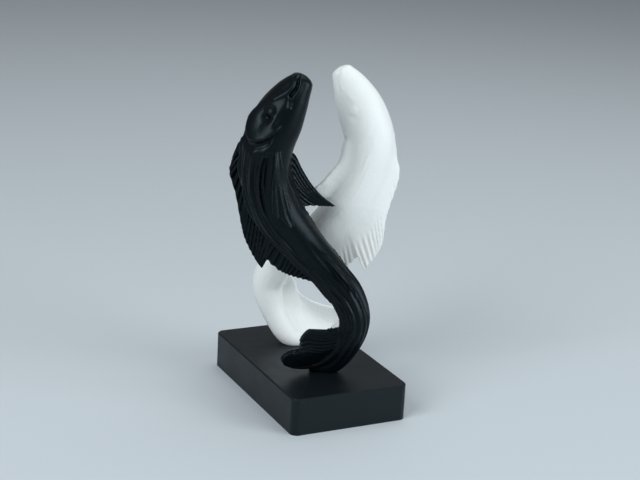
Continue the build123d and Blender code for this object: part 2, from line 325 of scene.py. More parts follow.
# %% [markdown]
# ## Folds
# Long folds run down the flanks, a thicker cord follows the back, and the skin is hollow beside
# the fins. The folds could be drawn one by one. A wave round the body gives them all at once, and a
# second, slower wave makes them uneven, as hand carving is. On the far side they end earlier,
# because the edge of the fish is smooth there.

# %% Fold relief
FINE_FOLDS = {
    "pitch": 11.0, "height": 0.95, "sharpness": 1.6, "middle": 0.35,
    "angles": (28, 44, 126, 140), "far_angles": (28, 44, 98, 116),
    "places": (3.95, 4.6, 10.2, 11.8), "uneven": 0.45, "uneven_pitch": 29.0, "drift": 0.7,
}
BROAD_FOLDS = [
    {"pitch": 24.0, "height": 0.35, "angles": (74, 92, 128, 142), "places": (3.9, 4.3, 5.6, 6.8)},
    {"pitch": 26.0, "height": 0.25, "angles": (96, 116, 180, 190), "places": (7.6, 9.0, 11.2, 12.4)},
]
BACK_CORD = {
    "line": [(3.95, 44), (4.5, 53), (5.0, 60), (5.5, 65), (6.0, 69), (6.5, 72), (7.0, 74),
             (7.6, 73), (8.2, 70), (8.9, 62)],
    "height": 1.0, "width": 0.8,
}
FIN_HOLLOW = {
    "line": [(4.12, 138), (4.5, 140), (4.9, 139), (5.3, 136)],
    "height": -1.5, "width": 2.0, "places": (3.95, 4.3, 4.7, 5.5),
}
BELLY_HOLLOW = {
    "line": [(7.2, 172), (7.8, 168), (8.4, 162), (8.8, 157)],
    "height": -0.7, "width": 1.4, "places": (7.0, 7.8, 8.3, 9.0),
}


def fold_relief(body, place, angle):
    """Fine and broad folds, the cord along the back and the hollows beside the fins."""
    turn = np.abs(angle)
    wave = 0.5 + 0.5 * np.cos(2 * np.pi * turn / FINE_FOLDS["pitch"])
    fine = wave ** FINE_FOLDS["sharpness"] - FINE_FOLDS["middle"]
    drift = turn / FINE_FOLDS["uneven_pitch"] + place * FINE_FOLDS["drift"]
    fine *= 1 + FINE_FOLDS["uneven"] * np.cos(2 * np.pi * drift)
    near, far = band(turn, *FINE_FOLDS["angles"]), band(turn, *FINE_FOLDS["far_angles"])
    fine *= np.where(angle > 0, near, far) * band(place, *FINE_FOLDS["places"])
    height = FINE_FOLDS["height"] * fine
    for folds in BROAD_FOLDS:
        broad = np.cos(2 * np.pi * turn / folds["pitch"])
        broad *= band(turn, *folds["angles"]) * band(place, *folds["places"])
        height += folds["height"] * broad
    height += pressed(body, place, turn, BACK_CORD) + pressed(body, place, turn, FIN_HOLLOW)
    return height + pressed(body, place, turn, BELLY_HOLLOW) * (angle > 0)


print_heights("Folds", fold_relief)

# %% [markdown]
# ## Strength of the carving
# The dark fish is carved crisply, and the pale one is worn smooth. Two separate sets of features
# could be kept, but one set with a strength for each fish keeps the two alike. A low keel runs
# down both backs.

# %% Relief of one fish
CARVING = {"dark": {"head": 1.0, "folds": 1.0}, "pale": {"head": 0.25, "folds": 0.2}}
KEEL = {"height": 0.8, "half_turn": 12, "places": (3.4, 4.4, 9.0, 10.5)}


def relief(body, place, angle, carving):
    """Height of the sculpted skin over the plain oval body."""
    keel = KEEL["height"] * ridge(np.abs(angle), KEEL["half_turn"]) * band(place, *KEEL["places"])
    head = carving["head"] * head_relief(body, place, angle)
    gills = carving["head"] ** 2 * gill_relief(body, place, angle)
    return head + gills + carving["folds"] * fold_relief(body, place, angle) + keel


print_heights("All relief of the dark fish", lambda *at: relief(*at, CARVING["dark"]))

# %% [markdown]
# ## The body mesh
# A body could be pulled out of a cube in Edit Mode, but its points would not know their place on
# the skin. So rings of points square to the spine are joined into four-sided faces. The snout
# closes in a half round, so that it does not end in a flat cut.

# %% Body mesh
FIRST_RING = 0.02
RING_STEP = 0.4
RING_POINTS = 160
SNOUT_ROUND = 1.7
parts = {fish: {} for fish in BODIES}


def ring_faces(rings, size):
    """Four-sided faces between neighbouring rings of points."""
    faces = []
    for low in range(0, (rings - 1) * size, size):
        for point in range(size):
            side = (point + 1) % size
            faces.append((low + point, low + side, low + size + side, low + size + point))
    return faces


def body_mesh(body, carving):
    """Vertices and faces of the closed, sculpted body."""
    runs = np.linspace(FIRST_RING, body.runs[-1], int(body.runs[-1] / RING_STEP))
    places = np.interp(runs, body.runs, body.places)
    angles = np.linspace(-180, 180, RING_POINTS, endpoint=False)
    place, angle = np.meshgrid(places, angles, indexing="ij")
    middle = body.spine(place)[0]
    skin = body.skin(place, angle, relief(body, place, angle, carving))
    closing = np.sqrt(1 - (1 - np.clip(runs / SNOUT_ROUND, 0, 1)) ** 2)
    rings = middle + (skin - middle) * closing[:, None, None]
    count = len(runs)
    vertices = np.concatenate([rings.reshape(-1, 3), middle[0, :1], middle[-1, :1]])
    faces = ring_faces(count, RING_POINTS)
    first, last, end = count * RING_POINTS, count * RING_POINTS + 1, (count - 1) * RING_POINTS
    for point in range(RING_POINTS):
        side = (point + 1) % RING_POINTS
        faces.append((first, side, point))
        faces.append((last, end + point, end + side))
    return vertices, faces


def add_part(fish, name, mesh):
    """Keep one closed part of a fish until all parts are wrapped in one skin."""
    parts[fish][name] = mesh
    print(fish, "fish:", name, "with", len(mesh[0]), "points")


for fish, body in BODIES.items():
    add_part(fish, "body", body_mesh(body, CARVING[fish]))

# %% [markdown]
# ## Fins
# A fin of the real fish is a thin web with raised rays. Each ray could be a tube of its own, but
# many tubes don't make a web. Here the four sides of a fin are smooth lines: the root in the body,
# the free end, and the first and last ray. The web is the blend of the four, so the rays fan out
# by themselves. They raise both faces, and the free end is notched between them.


# %% Faces of a web
def web_faces(columns, rows):
    """Faces of a closed web: its two sides, then the root, the free end and the two edge rays."""
    size = columns * rows
    faces = []
    for i in range(columns - 1):
        for j in range(rows - 1):
            p, q = i * rows + j, (i + 1) * rows + j
            faces.append((p, q, q + 1, p + 1))
            faces.append((size + p, size + p + 1, size + q + 1, size + q))
    for i in range(columns - 1):
        p, q = i * rows, (i + 1) * rows
        faces.append((p, size + p, size + q, q))
        p, q = p + rows - 1, q + rows - 1
        faces.append((p, q, size + q, size + p))
    for j in range(rows - 1):
        p, q = j, (columns - 1) * rows + j
        faces.append((p, p + 1, size + p + 1, size + p))
        faces.append((q, size + q, size + q + 1, q + 1))
    return faces


print("Faces of the smallest web, a cube:", len(web_faces(2, 2)))

# %% [markdown]
# The rays could be pressed into a finished web, but its thickness can carry them from the start: a
# wave across the web makes them, and the half thickness follows it.

# %% Web of one fin
RAY_COLUMNS = 10
WEB_ROWS = 70
RAY_SHARPNESS = 1.5
THINNEST_HALF = 0.34
TINY = 1e-12


def fan_sides(root, end):
    """Root, free end, and straight first and last rays between them."""
    return root, end, [root[0], end[0]], [root[-1], end[-1]]


def fin_web(sides, rays, half, rise, fade, notch, lead=1.0, cup=0.0, taper=1.0, lay=None):
    """Vertices and faces of a closed web. lay puts web points on a body instead of in the open."""
    columns = rays * RAY_COLUMNS + 1
    shares = np.linspace(0, 1, columns), np.linspace(0, 1, WEB_ROWS)
    across, out = np.meshgrid(*shares, indexing="ij")
    wave = np.abs(np.cos(np.pi * rays * across)) ** RAY_SHARPNESS
    reach = out * (1 - notch * (1 - wave))

    def along(line, share):
        return line_through(line, share * (len(line) - 1))

    root, end, first, last = (np.asarray(line, float) for line in sides)
    a, o = across[..., None], reach[..., None]
    web = (1 - a) * along(first, reach) + a * along(last, reach)
    web += (1 - o) * (along(root, across) - ((1 - a) * first[0] + a * last[0]))
    web += o * (along(end, across**lead) - ((1 - a) * first[-1] + a * last[-1]))
    web = on_skin(lay, web) if lay else web * FRONT_BACK
    normal = np.cross(np.gradient(web, axis=0), np.gradient(web, axis=1))
    normal /= np.linalg.norm(normal, axis=-1, keepdims=True) + TINY
    bulge = cup * np.sin(np.pi * across) * np.sin(np.pi * reach)
    web = web + normal * bulge[..., None]
    thick = half[1] + (half[0] - half[1]) * (1 - reach) ** taper
    thick = np.maximum(thick + rise * (wave - 0.5) * ramp(reach, *fade), THINNEST_HALF)
    faces_out = web + normal * thick[..., None]
    faces_in = web - normal * thick[..., None]
    vertices = np.concatenate([faces_out.reshape(-1, 3), faces_in.reshape(-1, 3)])
    return vertices, web_faces(columns, WEB_ROWS)


square = fan_sides([(0, 0, 0), (9, 0, 0)], [(0, 0, 9), (9, 0, 9)])
test_web = fin_web(square, rays=2, half=(1.0, 1.0), rise=0.5, fade=(0.0, 0.1), notch=0.1)[0]
print("Size of a square test web, mm:", np.ptp(test_web, axis=0).round(2))

# %% [markdown]
# ## Belly fin
# The belly fin is a small fold along the underside. It could be drawn in the open, in across, front
# and up, but it would sink in or float. Drawn in station, angle and lift it follows the skin.

# %% Belly fin
BELLY_ROOT = [(7.0, 188, -2.0), (7.9, 186, -1.5), (8.6, 179, -1.0)]
BELLY_END = [(7.3, 184, -1.0), (8.3, 176, 1.8), (8.9, 168, 3.4), (9.25, 162, 3.4)]
BELLY_STYLE = {"rays": 4, "half": (1.2, 0.6), "rise": 0.3, "fade": (0.0, 0.25), "notch": 0.03}


def skin_points(rows):
    """Station, angle and lift, evened so that each counts about a millimetre."""
    return np.asarray(rows, float) * [STATION_MM, DEGREE_MM, 1.0]


def on_skin(body, points):
    """Points on the skin from station, angle and lift in these evened units."""
    return body.skin(points[..., 0] / STATION_MM, points[..., 1] / DEGREE_MM, points[..., 2])


belly_sides = fan_sides(skin_points(BELLY_ROOT), skin_points(BELLY_END))
for fish, body in BODIES.items():
    add_part(fish, "belly", fin_web(belly_sides, lay=body, **BELLY_STYLE))

# %% [markdown]
# ## Dorsal fin
# The fin on the back has two lobes that sweep down and away from the front. It could be one long
# web, but then its rays could not turn twice. So each lobe is a web with a root that is sunk under
# the skin of the back.

# %% Lines of the dorsal fins
DORSAL_PLACES = {"dark": [3.7, 4.2, 4.8, 5.6, 6.5], "pale": [3.3, 4.0, 4.7, 5.6, 6.5]}
DORSAL_FRONT = {
    "dark": [(-31.2, 9.0, 90.3), (-34.4, 8.0, 81.4), (-34.6, 7.5, 78.0), (-32.2, 6.0, 69.5),
             (-29.6, 5.0, 57.0), (-28.0, 4.5, 50.9), (-23.6, 3.6, 42.2), (-20.6, 3.2, 38.0)],
    "pale": [(-27.8, 10.4, 98.0), (-30.3, 9.6, 91.7), (-31.2, 8.8, 86.0), (-32.8, 7.6, 77.5),
             (-32.0, 7.0, 72.2), (-29.7, 6.0, 64.4), (-28.4, 5.4, 58.6), (-27.4, 4.6, 48.2),
             (-25.2, 4.2, 43.4), (-20.6, 3.5, 37.3)],
}
REAR_PLACES = [6.4, 7.0, 7.7, 8.5]
DORSAL_REAR = {
    "dark": [(-20.9, 3.8, 46.4), (-18.3, 4.3, 42.0), (-13.2, 5.0, 38.1), (-10.3, 5.6, 37.0),
             (-6.2, 6.6, 36.2), (-0.9, 8.6, 35.6), (4.0, 12.0, 34.2)],
    "pale": [(-17.8, 4.4, 43.0), (-14.6, 5.2, 39.0), (-10.3, 5.6, 37.4), (-6.2, 6.6, 36.4),
             (-0.9, 8.6, 35.6), (4.0, 12.0, 34.2)],
}
for fish in BODIES:
    print("Edge points of the", fish, "lobes:", len(DORSAL_FRONT[fish]), len(DORSAL_REAR[fish]))

# %% Dorsal fins
FRONT_STYLE = {"rays": 17, "rise": 0.95, "notch": 0.012, "lead": 0.55}
REAR_STYLE = {"rays": 13, "rise": 0.95, "notch": 0.02, "lead": 0.8}
FIN_ROOT_SUNK = 2.5
END_HALF = 0.5
# How strong the rays are, where they start, how thick the root is and how it thins out.
FIN_LOOKS = {
    "dark": {"rays": 1.0, "ray_start": (0.0, 0.25), "root_half": 1.2, "taper": 1.0},
    "pale": {"rays": 0.6, "ray_start": (0.25, 0.7), "root_half": 2.2, "taper": 1.6},
}


def back_line(body, places):
    """Root line along the back, sunk under the skin, in across, front, up."""
    return body.skin(np.asarray(places), np.zeros(len(places)), -FIN_ROOT_SUNK) * FRONT_BACK


def open_fin(fish, sides, rise, notch, **style):
    """A fin in the open, carved as crisply as the look of its fish says."""
    look = FIN_LOOKS[fish]
    own = {"half": (look["root_half"], END_HALF), "taper": look["taper"], **style}
    rise, notch = rise * look["rays"], notch * look["rays"]
    return fin_web(sides, rise=rise, notch=notch, fade=look["ray_start"], **own)


for fish, body in BODIES.items():
    front = fan_sides(back_line(body, DORSAL_PLACES[fish]), DORSAL_FRONT[fish])
    rear = fan_sides(back_line(body, REAR_PLACES), DORSAL_REAR[fish])
    add_part(fish, "dorsal_front", open_fin(fish, front, **FRONT_STYLE))
    add_part(fish, "dorsal_rear", open_fin(fish, rear, **REAR_STYLE))

# %% [markdown]
# ## Breast fins
# One breast fin lies along the near flank, the other spreads into the gap between the two fish.
# They could be one fin and its mirror image, but on the real figurine they are posed apart. So the
# near one is drawn on the skin and the far one in the open.

# %% Breast fins
BREAST_FRONT = {
    "dark": [(-13.0, 9.5, 89.0), (-9.8, 8.0, 87.5), (-5.9, 7.0, 80.7), (-2.5, 6.0, 75.4),
             (1.7, 5.0, 70.5), (8.1, 4.0, 65.6)],
    "pale": [(-14.0, 8.5, 93.0), (-10.2, 6.5, 90.5), (-8.6, 5.6, 82.8), (-4.8, 4.6, 77.4),
             (-1.1, 3.8, 72.8), (8.1, 3.4, 65.8)],
}
BREAST_ROOT = {
    "dark": [(-13.0, 9.5, 89.0), (-13.0, 9.5, 83.0), (-12.5, 9.5, 77.0), (-11.5, 9.5, 71.0)],
    "pale": [(-14.0, 8.5, 93.0), (-13.5, 7.5, 85.0), (-13.0, 7.0, 77.0), (-11.5, 7.0, 71.0)],
}
FAR_BREAST_END = [(4.0, 4.4, 65.8), (0.7, 5.0, 65.9), (-6.0, 7.0, 66.1)]
FAR_BREAST_LAST = (-9.0, 8.3, 68.5)
FAR_BREAST_STYLE = {"rays": 8, "rise": 1.0, "notch": 0.03}
NEAR_BREAST_FIRST = [(3.85, 142, -1.2), (4.3, 148, 1.4), (5.03, 149, 2.2), (5.8, 143, 2.2)]
NEAR_BREAST_LAST = [
    (3.8, 154, -1.2), (4.3, 167, 0.9), (4.93, 182, 1.5), (5.62, 182, 1.7), (6.12, 177, 1.9),
]
NEAR_BREAST_END = [
    (5.8, 143, 2.2), (6.05, 150, 2.2), (6.55, 165, 2.0), (6.3, 172, 1.9), (6.12, 177, 1.9),
]
NEAR_BREAST_STYLE = {
    "rays": 5, "half": (0.9, 0.7), "rise": 0.65, "fade": (0.42, 0.75), "notch": 0.06,
}
first, last, end = map(skin_points, (NEAR_BREAST_FIRST, NEAR_BREAST_LAST, NEAR_BREAST_END))
near_sides = [first[0], last[0]], end, first, last
for fish, body in BODIES.items():
    front, root = BREAST_FRONT[fish], BREAST_ROOT[fish]
    far_end = [front[-1], *FAR_BREAST_END]
    far_sides = root, far_end, front, [root[-1], FAR_BREAST_LAST, far_end[-1]]
    add_part(fish, "breast_far", open_fin(fish, far_sides, **FAR_BREAST_STYLE))
    add_part(fish, "breast_near", fin_web(near_sides, lay=body, **NEAR_BREAST_STYLE))

# %% [markdown]
# ## Tail
# The tail opens into a cupped fan just above the plinth. It could be a flat fan that is bent later,
# but its edge follows the real one more easily when it is drawn in the open. So it is a web like the
# other fins, with a bulge for the cup.

# %% Tail fan
TAIL_TOP = {
    "dark": [(16.6, 19.4, 22.0), (10.2, 20.5, 20.2), (4.7, 21.5, 19.6), (-0.4, 21.5, 19.7),
             (-2.4, 22.0, 17.9)],
    "pale": [(18.4, 19.8, 27.0), (11.0, 20.0, 30.0), (8.2, 20.2, 26.6), (7.0, 20.4, 23.0),
             (4.4, 20.8, 19.8), (-1.5, 21.8, 16.4), (-13.0, 24.5, 12.8)],
}
TAIL_END = {
    "dark": [(-2.4, 22.0, 17.9), (-3.7, 22.5, 15.9), (-3.9, 23.5, 11.9), (-6.7, 25.0, 11.7),
             (-9.6, 26.0, 10.3), (-10.8, 26.0, 8.4), (-9.6, 24.5, 5.9)],
    "pale": [(-13.0, 24.5, 12.8), (-13.6, 25.0, 10.0), (-12.0, 25.0, 7.4), (-9.6, 24.5, 5.9)],
}
TAIL_ROOT = [(16.2, 19.2, 17.0), (14.6, 18.4, 12.4), (11.6, 16.6, 7.6)]
TAIL_FOOT = [
    (7.6, 14.4, 2.6), (2.0, 14.2, 2.2), (-2.0, 16.0, 2.4), (-5.9, 20.2, 3.4), (-9.6, 24.5, 5.9),
]
TAIL_STYLE = {"rays": 16, "rise": 0.6, "notch": 0.03, "half": (1.4, 0.7), "cup": -1.2}
for fish in BODIES:
    tail_root = [TAIL_TOP[fish][0], *TAIL_ROOT, TAIL_FOOT[0]]
    tail_sides = tail_root, TAIL_END[fish], TAIL_TOP[fish], TAIL_FOOT
    add_part(fish, "tail", open_fin(fish, tail_sides, **TAIL_STYLE))

# %% [markdown]
# A thick rim runs from the body to the tail's lower tip. It could be one more ray, but it is rounder
# and crosses the others. So it is a bead along a line, thinning to the tip.

# %% Tail rim
TAIL_RIM = [
    (14.2, 20.0, 24.0), (13.0, 20.6, 20.2), (12.4, 21.0, 15.6), (11.2, 21.0, 11.4), (8.2, 19.6, 7.4),
    (3.8, 17.4, 3.6), (-1.0, 17.0, 2.2), (-5.6, 20.0, 3.2), (-9.2, 24.0, 5.8),
]
TAIL_RIM_RADII = (1.6, 0.8)
RIM_ROWS, RIM_POINTS = 90, 16


def rim_tube(line, start, end):
    """A round bead along a line, thinning from one radius to the other."""
    share = np.linspace(0, 1, RIM_ROWS)
    middle = line_through(line, share * (len(line) - 1)) * FRONT_BACK
    along = np.gradient(middle, axis=0)
    along /= np.linalg.norm(along, axis=1, keepdims=True)
    side = np.cross(along, [0.0, 1.0, 0.0])
    side /= np.linalg.norm(side, axis=1, keepdims=True)
    other = np.cross(along, side)
    turn = np.linspace(0, 2 * np.pi, RIM_POINTS, endpoint=False)
    radius = (start + (end - start) * share)[:, None, None]
    bead = side[:, None] * np.cos(turn)[:, None] + other[:, None] * np.sin(turn)[:, None]
    vertices = (middle[:, None] + radius * bead).reshape(-1, 3)
    ends = np.arange(len(vertices)).reshape(RIM_ROWS, RIM_POINTS)
    caps = [tuple(ends[0]), tuple(ends[-1][::-1])]
    # These rings run the other way round than the body's, so the faces are turned over.
    return vertices, caps + [(a, d, c, b) for a, b, c, d in ring_faces(RIM_ROWS, RIM_POINTS)]


for fish in BODIES:
    add_part(fish, "tail_rim", rim_tube(TAIL_RIM, *TAIL_RIM_RADII))

# %% [markdown]
# ## One skin over body and fins
# Each real fish looks cast in one piece, and its fins flow into the body. A boolean union would join
# the parts, but it would leave sharp seams and can fail on thin webs. A fine voxel grid wraps
# them in one closed skin with soft joints, as putty would, and a light smoothing takes the grid's
# steps away. The pale fish is smoother, so a coarser grid is enough for it.


# %% Parts in one list
def joined(meshes):
    """Vertices and faces of several parts, each as one list."""
    all_vertices, all_faces, offset = [], [], 0
    for vertices, faces in meshes:
        all_vertices.append(vertices)
        all_faces += [tuple(corner + offset for corner in face) for face in faces]
        offset += len(vertices)
    return np.concatenate(all_vertices), all_faces


rough_parts = {fish: joined(parts[fish].values()) for fish in BODIES}
for fish, (vertices, faces) in rough_parts.items():
    print("Before wrapping:", fish, "fish,", len(vertices), "points,", len(faces), "faces")

# %% Wrap
VOXEL_MM = {"dark": 0.34, "pale": 0.39}
SMOOTH_FACTOR, SMOOTH_ROUNDS = 0.5, 2


def new_object(name, data):
    """A new object of a mesh, lamp or camera, linked into the scene."""
    made = bpy.data.objects.new(name, data)
    bpy.context.scene.collection.objects.link(made)
    return made


def mesh_object(name, vertices, faces):
    """A new object from vertices and faces."""
    mesh = bpy.data.meshes.new(name)
    mesh.from_pydata([tuple(v) for v in vertices], [], faces)
    mesh.validate()
    return new_object(name, mesh)


def wrapped(vertices, faces, voxel):
    """Mesh of one closed, lightly smoothed skin over overlapping shapes."""
    rough = mesh_object("fish_rough", vertices * MM, faces)
    wrap = rough.modifiers.new("wrap", "REMESH")
    wrap.mode = "VOXEL"
    wrap.voxel_size = voxel * MM
    wrap.use_smooth_shade = True
    soften = rough.modifiers.new("soften", "SMOOTH")
    soften.factor = SMOOTH_FACTOR
    soften.iterations = SMOOTH_ROUNDS
    seen = rough.evaluated_get(bpy.context.evaluated_depsgraph_get())
    mesh = bpy.data.meshes.new_from_object(seen)
    bpy.data.objects.remove(rough)
    return mesh


skins = {fish: wrapped(*rough_parts[fish], VOXEL_MM[fish]) for fish in BODIES}
for fish, mesh in skins.items():
    print("Skin of the", fish, "fish:", len(mesh.polygons), "faces")

# %% [markdown]
# Where parts overlap, the grid also encloses a few small bubbles inside the fish. They could be
# picked out by hand in Edit Mode. Here each point takes the lowest number among its neighbours
# until nothing changes, so every loose shell ends with one number, and only the largest stays.


# %% Outer skin alone
def mesh_edges(mesh):
    """The two point numbers of every edge."""
    edges = np.empty(len(mesh.edges) * 2, int)
    mesh.edges.foreach_get("vertices", edges)
    return edges.reshape(-1, 2)


def drop_bubbles(mesh):
    """Take the small closed shells out of a mesh, and return how many points they had."""
    first, second = mesh_edges(mesh).T
    label = np.arange(len(mesh.vertices))
    settled = False
    while not settled:
        low = np.minimum(label[first], label[second])
        lower = label.copy()
        np.minimum.at(lower, first, low)
        np.minimum.at(lower, second, low)
        lower = lower[lower]
        settled = np.array_equal(lower, label)
        label = lower
    kept = np.bincount(label).argmax()
    shell = bmesh.new()
    shell.from_mesh(mesh)
    bubbles = [vertex for vertex, own in zip(shell.verts, label) if own != kept]
    count = len(bubbles)
    bmesh.ops.delete(shell, geom=bubbles, context="VERTS")
    shell.to_mesh(mesh)
    shell.free()
    return count


for fish, mesh in skins.items():
    print("Bubble points dropped inside the", fish, "fish:", drop_bubbles(mesh))

# %% [markdown]
# On the pale fish the joints between fins and body are worn much softer. More smoothing all over
# would also wash out its face and its fin edges. So only the points near the root lines of the
# back and breast fins are moved towards their neighbours, many times over.

# %% Spots along the pale fish's joints
BREAST_JOINT = [(-12.0, 5.0, 92.0), (-11.0, 4.0, 85.0), (-10.2, 3.5, 77.0), (-8.5, 4.0, 69.0)]
JOINT_SPOTS = 40
joint_places = np.linspace(DORSAL_PLACES["pale"][0], REAR_PLACES[-1], JOINT_SPOTS)
back_spots = BODIES["pale"].skin(joint_places, np.zeros(JOINT_SPOTS))
breast_at = np.linspace(0, len(BREAST_JOINT) - 1, JOINT_SPOTS)
breast_spots = line_through(BREAST_JOINT, breast_at) * FRONT_BACK
joint_spots = np.concatenate([back_spots, breast_spots]) * MM
print("Spots along the joints:", len(joint_spots))

# %% Soft joints of the pale fish
JOINT_REACH = 4.5
JOINT_SHARE = 0.5
JOINT_ROUNDS = 90


def mesh_points(mesh):
    """The places of all points of a mesh."""
    points = np.empty(len(mesh.vertices) * 3)
    mesh.vertices.foreach_get("co", points)
    return points.reshape(-1, 3)


def soften_joints(points, edges, spots):
    """Points of a mesh, evened out near the spots where fins leave the body."""
    away = np.full(len(points), np.inf)
    for spot in spots:
        away = np.minimum(away, np.linalg.norm(points - spot, axis=1))
    share = JOINT_SHARE * ridge(away, JOINT_REACH * MM)[:, None]
    first, second = edges.T
    count = np.bincount(edges.ravel(), minlength=len(points))[:, None]
    for step in range(JOINT_ROUNDS):
        total = np.zeros_like(points)
        for axis in range(3):
            total[:, axis] = np.bincount(first, points[second, axis], len(points))
            total[:, axis] += np.bincount(second, points[first, axis], len(points))
        points = points + share * (total / count - points)
    return points


points = {fish: mesh_points(mesh) for fish, mesh in skins.items()}
sharp = points["pale"]
points["pale"] = soften_joints(sharp, mesh_edges(skins["pale"]), joint_spots)
moved = np.linalg.norm(points["pale"] - sharp, axis=1).max()
print("The joints moved by up to", round(moved / MM, 2), "mm")

# %% [markdown]
# ## The two fish
# The real fish stand with the tail flat on the plinth. A boolean cut would flatten the foot, but
# pressing every point up to the plinth's top does it too and keeps the mesh closed. Each fish is
# then turned about the upright axis, the pale one half a turn further, and takes the place of its
# CAD piece.

# %% Fish objects
plinth = frame["nodes"]["plinth"]
PLINTH_TOP = max((plinth.matrix_world @ Vector(corner)).z for corner in plinth.bound_box)
FISH_TURN = np.radians(63.4)


def fish_object(name, fish, turns, node):
    """A fish that stands on the plinth in the place of its CAD node."""
    mesh, places = skins[fish], points[fish]
    places[:, 2] = np.maximum(places[:, 2], 0.0) + PLINTH_TOP
    mesh.vertices.foreach_set("co", places.ravel())
    for turn in turns:
        mesh.transform(Matrix.Rotation(turn, 4, "Z"))
    piece = new_object(name, mesh)
    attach(piece, "root")
    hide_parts(node)
    print(name, "has", len(mesh.polygons), "faces")
    return piece


dark_carp = fish_object("dark_carp", "dark", [FISH_TURN], "dark_fish")
pale_carp = fish_object("pale_carp", "pale", [FISH_TURN, np.pi], "pale_fish")

# %% [markdown]
# ## Plinth and screws
# The plinth is a plain block with rounded upright corners, and two screws in its underside hold the
# fish. Both could be remade here, but they are machined shapes without any carving. The CAD meshes
# serve as they are and only take a finish.

# %% CAD pieces kept as they are
screws = frame["nodes"]["fixing_screws"]
for piece in (plinth, screws):
    print(piece.name, "keeps its", len(piece.data.polygons), "CAD faces")

# %% [markdown]
# ## Shared effects
# Fish and plinth look cast and painted alike, so two effects serve several finishes. Their nodes
# could be copied into every material, but then each change is made many times. A node group is
# built once and takes the values of each finish.

# %% Two empty node groups
COLOR, NUMBER = "NodeSocketColor", "NodeSocketFloat"


def new_group(name, inputs, outputs):
    """An empty shader node group with the named sockets."""
    group = bpy.data.node_groups.new(name, "ShaderNodeTree")
    for in_out, sockets in (("INPUT", inputs), ("OUTPUT", outputs)):
        for socket, kind in sockets:
            group.interface.new_socket(socket, in_out=in_out, socket_type=kind)
    return group, group.nodes.new("NodeGroupInput"), group.nodes.new("NodeGroupOutput")


# The first group paints shade into hollows and a lighter highlight, partly rubbed wear, onto ridges.
carved, carved_in, carved_out = new_group(
    "Painted shade and rubbed highlight", [("Body", COLOR), ("Hollow shade", COLOR), ("Rubbed highlight", COLOR)], [("Color", COLOR)]
)
grain, grain_in, grain_out = new_group(
    "Cast grain",
    [("Roughness", NUMBER), ("Spread", NUMBER)],
    [("Roughness", NUMBER), ("Height", NUMBER)],
)
print("Node groups:", [group.name for group in bpy.data.node_groups])

# %% [markdown]
# Cast grain is the fine uneven skin of cast and sanded resin. A photograph of such a surface could
# be wrapped on, but it would need a flat map of the fish. Noise in space needs none. The broad noise
# changes the roughness a little, and the finer two make the height for the bump.

# %% Cast grain
# Scale and detail of each noise, and the share of the finest one in the height.
BROAD_NOISE, MIDDLE_NOISE, FINE_NOISE = (140.0, 3.0), (450.0, 4.0), (1500.0, 3.0)
FINE_SHARE = 0.35
NOISE_MIDDLE = 0.5


def fill(node, values):
    """Set the plain inputs of a node."""
    for socket, value in values.items():
        node.inputs[socket].default_value = value


def add_noise(tree, vector, scale, detail):
    """A noise value at a scale."""
    node = tree.nodes.new("ShaderNodeTexNoise")
    fill(node, {"Scale": scale, "Detail": detail})
    tree.links.new(vector, node.inputs["Vector"])
    return node.outputs["Fac"]


def add_math(tree, operation, first, second):
    """A sum, product or other step of two values, each a socket or a number."""
    node = tree.nodes.new("ShaderNodeMath")
    node.operation = operation
    for socket, value in zip(node.inputs, (first, second)):
        if isinstance(value, (int, float)):
            socket.default_value = value
        else:
            tree.links.new(value, socket)
    return node.outputs[0]


coords = grain.nodes.new("ShaderNodeTexCoord").outputs["Object"]
noises = BROAD_NOISE, MIDDLE_NOISE, FINE_NOISE
broad, middle, fine = (add_noise(grain, coords, *noise) for noise in noises)
swing = add_math(grain, "SUBTRACT", broad, NOISE_MIDDLE)
uneven = add_math(grain, "MULTIPLY", swing, grain_in.outputs["Spread"])
roughness = add_math(grain, "ADD", grain_in.outputs["Roughness"], uneven)
grain.links.new(roughness, grain_out.inputs["Roughness"])
height = add_math(grain, "ADD", add_math(grain, "MULTIPLY", fine, FINE_SHARE), middle)
grain.links.new(height, grain_out.inputs["Height"])
print("Cast grain has", len(grain.nodes), "nodes")

# %% [markdown]
# Painted shade and rubbed highlight: hollows are painted darker as shade, and ridges are painted
# lighter as a highlight, partly rubbed wear. It could be painted on by hand, point by point. The
# pointiness of the mesh finds hollows and ridges by itself, and a noise keeps the lighter ridges
# patchy.

# %% Painted shade and rubbed highlight
PATCH_NOISE = (260.0, 4.0)
# From where to where a value counts, and the share it becomes.
# Pointiness ranges for painted shade in hollows and a painted highlight on ridges, in patches.
HOLLOW_RANGE = (0.497, 0.46, 0.0, 1.0)
RIDGE_RANGE = (0.515, 0.57, 0.0, 1.0)
WEAR_HIGHLIGHT_RANGE = (0.35, 0.65, 0.2, 1.0)
# A Mix node's colour sockets share their names with others, so they go by number.
MIX_FIRST, MIX_SECOND, MIX_RESULT = 6, 7, 2


def add_map(tree, source, low, high, to_low, to_high):
    """A clamped change of range."""
    node = tree.nodes.new("ShaderNodeMapRange")
    fill(node, {"From Min": low, "From Max": high, "To Min": to_low, "To Max": to_high})
    tree.links.new(source, node.inputs["Value"])
    return node.outputs["Result"]


def add_mix(tree, share, first, second):
    """A blend of two colours."""
    node = tree.nodes.new("ShaderNodeMix")
    node.data_type = "RGBA"
    tree.links.new(share, node.inputs["Factor"])
    tree.links.new(first, node.inputs[MIX_FIRST])
    tree.links.new(second, node.inputs[MIX_SECOND])
    return node.outputs[MIX_RESULT]


